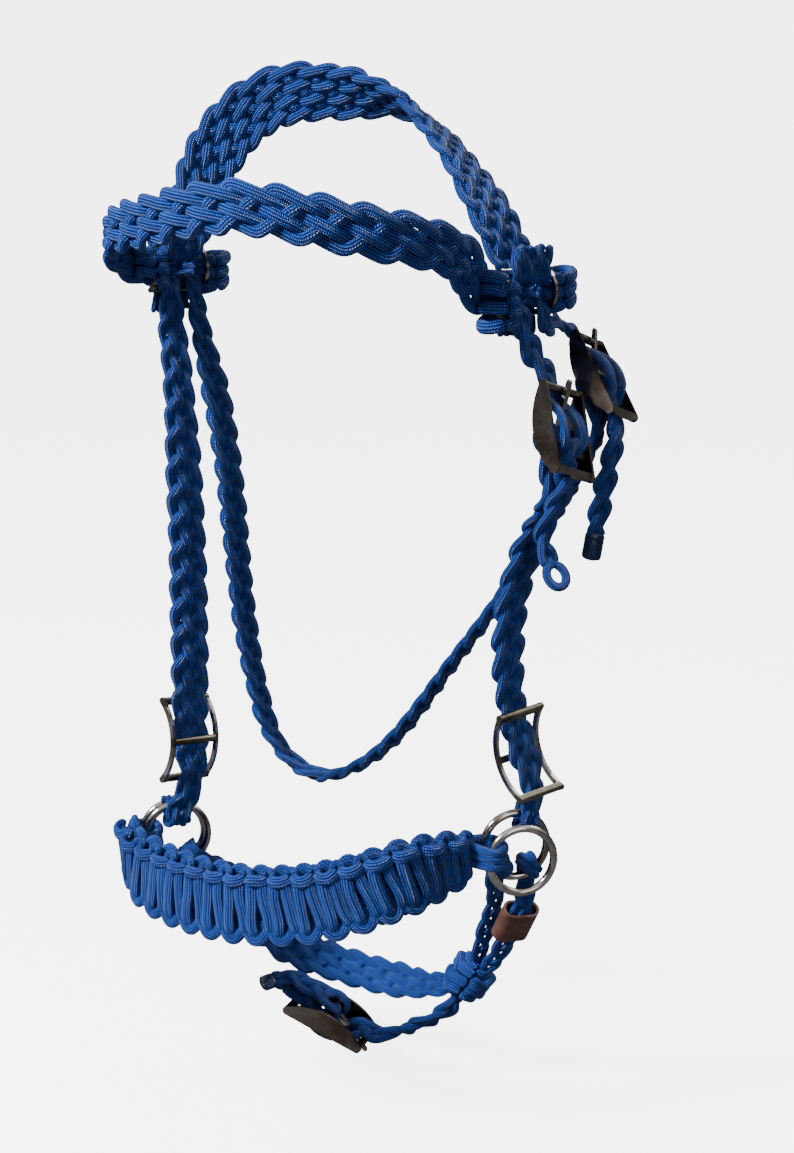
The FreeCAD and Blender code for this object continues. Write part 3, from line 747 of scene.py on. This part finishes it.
def tail_loop(cords):
    """The cheek tail ends in one cord turned back on itself as an open loop."""
    a = np.linspace(-0.5, 1.9 * math.pi, 50)
    end, t, w = BILLET_C.p[-1], BILLET_C.t[-1], BILLET_C.w[-1]
    pts = end + np.outer(6.5 - 6.5 * np.cos(a), t) + np.outer(5.6 * np.sin(a), w)
    cords.add(pts, np.tile(BILLET_C.n[-1], (50, 1)), 5.0, 4.0)


def span(strip, point, before, after, value):
    """A stretch of a strap round the place nearest to a point, with a limit for that stretch."""
    s = float(strip.s[np.argmin(((strip.p - point) ** 2).sum(axis=1))])
    return s - before, s + after, value


EYE, TONGUE = 6.3, 5.0
HANG = ("headstall", "chin", (0, 0, -0.430), (0, 0, -0.456))
simple("crown_braid", CROWN, 8, "crown_strap", "headstall", hand=1)
simple("browband_braid", BROW, 5, "browband", extra=wraps, cord=7.0, repeat=22.5, hand=-1,
       blend=("headstall", "browband", (0, -0.050, -0.1), (0, -0.095, -0.1)))
simple("cheek_braid_left", CHEEK_L, 5, "cheek_strap_left", "headstall", hand=-1,
       room=[span(CHEEK_L, SLIDE_L[0], 36, 34, 2.3)])
simple("cheek_braid_right", CHEEK_R, 5, "cheek_strap_right", "headstall", hand=1,
       room=[span(CHEEK_R, SLIDE_R[0], 36, 34, 2.3)], parted=[(-1, 30, EYE)])
simple("cheek_billet_braid", BILLET_C, 3, "cheek_billet", "headstall", extra=tail_loop,
       parted=[span(BILLET_C, spot(CHEEK, 0, 0, 6), 14, 16, TONGUE)])
simple("throat_billet_braid", BILLET_T, 3, "throat_billet", extra=lambda c: melted(c, BILLET_T, 11, 8, 15, 1.5),
       parted=[span(BILLET_T, spot(THROAT, 0, 0, 6), 14, 16, TONGUE)],
       blend=("headstall", "throatlatch", (0, 0, -0.112), (0, 0, -0.132)))
simple("throatlatch_braid", LATCH, 4, "throatlatch", repeat=15.8, hand=1, parted=[(-1, 30, EYE)],
       blend=("headstall", "throatlatch", (0, 0, -0.112), (0, 0, -0.135)))
simple("chin_braid", CHIN_STRAP, 6, "chin_strap", blend=HANG, repeat=15.5, hand=1, over=-1)
simple("chin_leg_inner_braid", LEG_IN, 3, "chin_leg_inner", blend=HANG)
simple("chin_leg_outer_braid", LEG_OUT, 3, "chin_leg_outer", blend=HANG)
simple("chin_adjuster_braid", ADJUST, 3, "chin_adjuster", "chin", extra=lambda c: melted(c, ADJUST, 9, 5, 7),
       parted=[span(ADJUST, spot(CHIN, 0, 0, 6), 14, 16, TONGUE)])
simple("chin_chape_braid", CHAPE, 3, "chin_chape", "chin", extra=lambda c: melted(c, CHAPE, 12, 6, 10),
       parted=[(-1, 30, EYE)])


# noseband: a core of straight cords with working cords knotted round it, unit by unit
def nose_path(points):
    """Points given as (along, across, out) in the noseband's own directions."""
    q = curve(points, 0.7)
    pts, look = NOSE.place(np.clip(q[:, 0], 0, NOSE.length), q[:, 1], q[:, 2])
    over = q[:, 0] - np.clip(q[:, 0], 0, NOSE.length)
    return pts + NOSE.get("t", np.clip(q[:, 0], 0, NOSE.length)) * over[:, None], look


nose = Cords("noseband_knots")
units = 17
pitch = (NOSE.length - 3) / units
first = pitch / 2 + 0.5
core = np.linspace(1, NOSE.length - 1, 200)
for across in (-10, -3.4, 3.4, 10):
    k = NOSE.get("half", core) / 19.5
    pts, look = NOSE.place(core, across * k, np.full(200, 0.0) + 0.6 * np.sin(core / 4.2 + across))
    nose.add(pts, look, 6.8 * k, 5.4)
for u in range(units):
    s = first + u * pitch
    k = float(NOSE.get("half", np.array([s]))[0]) / 19.5
    j = rng.normal(0, 0.5, 12)
    for side in (1, -1):
        d = side
        top = -1 if side == 1 else 1
        a = lambda x: top * x * k
        near = nose_path([(s - 3.2, a(14), 2 * d), (s - 3.5, a(11), 4.6 * d), (s - 3.5 + j[0], a(3), 5.3 * d),
                          (s - 3.2 + j[1], a(-8), 5.2 * d), (s - 3.0, a(-14), 4.4 * d), (s - 2.4, a(-17.5), 1 * d)])
        nose.add(near[0], near[1] * d, 7.0, 4.4)
        far = nose_path([(s + 2.8, a(14), 2 * d), (s + 3.2, a(11), 4.6 * d), (s + 3.9 + j[2], a(3), 5.1 * d),
                         (s + 5.2 + j[3], a(-7), 4.8 * d), (s + 6.0, a(-13), 4.0 * d), (s + 6.4, a(-16.5), 1 * d)])
        nose.add(far[0], far[1] * d, 6.7, 4.4)
        collar = nose_path([(s - 6.2, a(15.5), 1.2 * d), (s - 4.6, a(14.4), 5.2 * d), (s, a(14 + j[4]), 7.2 * d),
                            (s + 4.6, a(14.4), 5.2 * d), (s + 6.2, a(15.5), 1.2 * d)])
        nose.add(collar[0], collar[1] * d, 6.8, 4.2)
        arch = nose_path([(s + 4.2, a(15.5), 3.6 * d), (s + 5.2, a(18.6), 2.8 * d), (s + 7.0, a(19.4), 1.2 * d),
                          (s + 9.2, a(18.4), 2.4 * d), (s + 10.0, a(15.0), 3.2 * d)])
        nose.add(arch[0], np.cross(np.gradient(arch[0], axis=0), arch[1]) + arch[1] * 0.4, 4.6, 4.2)
        cup = nose_path([(s - 7.6, a(-11.0), 2.2 * d), (s - 6.6, a(-15.5), 4.0 * d), (s - 3.8, a(-18.7), 4.2 * d),
                         (s - 0.4, a(-19.0), 4.2 * d), (s + 2.6, a(-16.4), 4.0 * d), (s + 4.2, a(-12), 1.5 * d)])
        nose.add(cup[0], cup[1] * d, 5.8, 4.2)


def ring_loops(end, inward, ring, rein, heights):
    """The noseband's end cords looped round the cheek ring and rein ring together."""
    mid = (ring + rein) / 2
    edge = mid - RING_ACROSS * 18.3
    front = RING_FACE * (abs((rein - ring) @ RING_FACE) / 2 + 7.0)
    for h in heights:
        z = UP * h
        inside = RING_ACROSS * (7.6 + abs(h) * 0.12)
        pts = curve([end + z * 1.3 - inward * 7 + RING_FACE * 3, end + z * 1.2 + RING_FACE * 3,
                     edge + z + front - RING_ACROSS * 1, edge + z + front * 0.8 + inside * 0.8,
                     edge + z + inside * 1.15, edge + z - front * 0.8 + inside * 0.8,
                     edge + z - front - RING_ACROSS * 2, end + z * 1.2 - RING_FACE * 4,
                     end + z * 1.3 - inward * 7 - RING_FACE * 4])
        nose.add(pts, pts - (edge + z + inside * 0.2), 4.8, 4.0)


ring_loops(NOSE.p[-1], NOSE.t[-1], RING_R, REIN_R, (-2.6, 1.6, 5.6))
ring_loops(NOSE.p[0], -NOSE.t[0], RING_L, REIN_L, (-4.2, 0, 4.2))
finish(nose, ["noseband"], blend=("headstall", "noseband", (0, -0.080, -0.42), (0, -0.112, -0.42)))

# chin knot: a ball of wraps, two of them crossing its front
back_dir = V(0.335, -0.9205, 0.201)
side_dir = unit(np.cross(UP, back_dir))
high_dir = np.cross(back_dir, side_dir)
knot = Cords("chin_knot_wraps")


def wrap_ring(mid, axis, start, r1, r2, wide=6.2, turns=1.0, rise=0.0):
    axis = unit(axis)
    e1 = square_to(start, axis)
    e2 = np.cross(axis, e1)
    a = np.linspace(0, 2 * math.pi * turns, int(60 * turns))
    pts = mid + np.outer(np.cos(a) * r1, e1) + np.outer(np.sin(a) * r2, e2) + np.outer(np.linspace(-rise, rise, len(a)), axis)
    knot.add(pts, np.outer(np.cos(a) / r1, e1) + np.outer(np.sin(a) / r2, e2), wide, wide * 0.74)


down_right = unit(side_dir * 0.8 - high_dir * 0.6)
cross_dir = np.cross(back_dir, down_right)
for off, r, lean in ((2.9, 12.0, 0.10), (-3.1, 12.1, -0.06), (-8.4, 9.2, -0.16), (8.3, 8.8, 0.2)):
    wrap_ring(KNOT + cross_dir * off, cross_dir + down_right * lean, back_dir, r, r * 0.96, rise=0.9)
wrap_ring(KNOT - down_right * 8.0, down_right + cross_dir * 0.35, back_dir, 7.4, 9.4)
wrap_ring(KNOT + down_right * 8.2, down_right + cross_dir * -0.3, back_dir, 7.8, 9.2)
wrap_ring(KNOT - side_dir * 8.6 + back_dir * 2, back_dir + side_dir * 0.8, high_dir, 7.8, 4.6, 5.6)
wrap_ring(KNOT, back_dir, side_dir, 9.8, 9.8, 6.0)
finish(knot, ["chin_knot"], "chin")

# ------------------------------------------------------------------ stage, light and camera
def stage_material():
    m, t, bsdf = nodes_of("pale_floor")
    col = ramp(t, noise(t, 3, 2), [(0.3, (0.86, 0.86, 0.86)), (0.7, (0.9, 0.9, 0.9))])
    bsdf.inputs["Roughness"].default_value = 0.9
    bsdf.inputs["Emission Color"].default_value = (1, 1, 1, 1)
    rays = t.nodes.new("ShaderNodeLightPath")
    camera_ray = rays.outputs["Is Camera Ray"]
    mirrored = calc(t, "ADD", 0.12, calc(t, "MULTIPLY", camera_ray, 0.88))
    dim = t.nodes.new("ShaderNodeVectorMath")
    dim.operation = "SCALE"
    t.links.new(col, dim.inputs[0])
    t.links.new(mirrored, dim.inputs["Scale"])
    t.links.new(dim.outputs[0], bsdf.inputs["Base Color"])
    t.links.new(calc(t, "MULTIPLY", camera_ray, 4.75), bsdf.inputs["Emission Strength"])
    return m


low, high = FIRST
me = bpy.data.meshes.new("floor")
z = low.z - 0.012
me.from_pydata([(-6, -6, z), (6, -6, z), (6, 6, z), (-6, 6, z)], [], [(0, 1, 2, 3)])
me.materials.append(stage_material())
floor = bpy.data.objects.new("floor", me)
bpy.context.scene.collection.objects.link(floor)


def lamp(name, place, target, width, power, tint=(1, 1, 1)):
    data = bpy.data.lights.new(name, "AREA")
    data.shape = "RECTANGLE"
    data.size, data.size_y = width
    data.energy = power
    data.color = tint
    o = bpy.data.objects.new(name, data)
    bpy.context.scene.collection.objects.link(o)
    o.location = place
    o.rotation_mode = "QUATERNION"
    o.rotation_quaternion = (Vector(target) - Vector(place)).to_track_quat("-Z", "Y")
    return o


MID = (0, -0.05, -0.27)
lamp("key", (-1.2, -1.4, 1.3), MID, (0.5, 0.5), 128)
lamp("fill", (1.6, -1.6, 0.3), MID, (0.8, 1.2), 8)
lamp("back", (0.9, 1.4, 1.2), MID, (1.0, 0.8), 14)
world = bpy.data.worlds.new("studio")
bpy.context.scene.world = world
world.use_nodes = True
wt = world.node_tree
wt.nodes.clear()
path = wt.nodes.new("ShaderNodeLightPath")
coord = wt.nodes.new("ShaderNodeTexCoord")
sep = wt.nodes.new("ShaderNodeSeparateXYZ")
wt.links.new(coord.outputs["Generated"], sep.inputs[0])
bands = ramp(wt, calc(wt, "ADD", calc(wt, "MULTIPLY", sep.outputs[2], 0.5), 0.5),
             [(0.0, (0.05, 0.045, 0.04)), (0.46, (0.035, 0.03, 0.028)), (0.52, (0.25, 0.24, 0.22)),
              (0.62, (0.05, 0.05, 0.055)), (0.8, (0.9, 0.9, 0.92)), (1.0, (1, 1, 1))])
soft = wt.nodes.new("ShaderNodeBackground")
soft.inputs[0].default_value = (1, 1, 1, 1)
soft.inputs[1].default_value = 0.13
shine = wt.nodes.new("ShaderNodeBackground")
wt.links.new(bands, shine.inputs[0])
shine.inputs[1].default_value = 1.0
seen = wt.nodes.new("ShaderNodeBackground")
seen.inputs[0].default_value = (1, 1, 1, 1)
seen.inputs[1].default_value = 5.0
mix1 = wt.nodes.new("ShaderNodeMixShader")
mix2 = wt.nodes.new("ShaderNodeMixShader")
wt.links.new(path.outputs["Is Glossy Ray"], mix1.inputs[0])
wt.links.new(soft.outputs[0], mix1.inputs[1])
wt.links.new(shine.outputs[0], mix1.inputs[2])
wt.links.new(path.outputs["Is Camera Ray"], mix2.inputs[0])
wt.links.new(mix1.outputs[0], mix2.inputs[1])
wt.links.new(seen.outputs[0], mix2.inputs[2])
wout = wt.nodes.new("ShaderNodeOutputWorld")
wt.links.new(mix2.outputs[0], wout.inputs[0])

cam = bpy.data.cameras.new("camera")
cam.lens = 67.16
cam.sensor_width = 36
cam.clip_start, cam.clip_end = 0.01, 50
shot = bpy.data.objects.new("camera", cam)
bpy.context.scene.collection.objects.link(shot)
back = V(0.335, -0.9205, 0.201)
right = unit(np.cross(UP, back))
upward = np.cross(back, right)
roll = math.radians(-0.2)
r2 = right * math.cos(roll) + upward * math.sin(roll)
u2 = np.cross(back, r2)
rot = Matrix((r2, u2, back)).transposed().to_4x4()
shot.matrix_world = Matrix.Translation(Vector((0.4307, -1.1627, -0.0242))) @ rot
bpy.context.scene.camera = shot
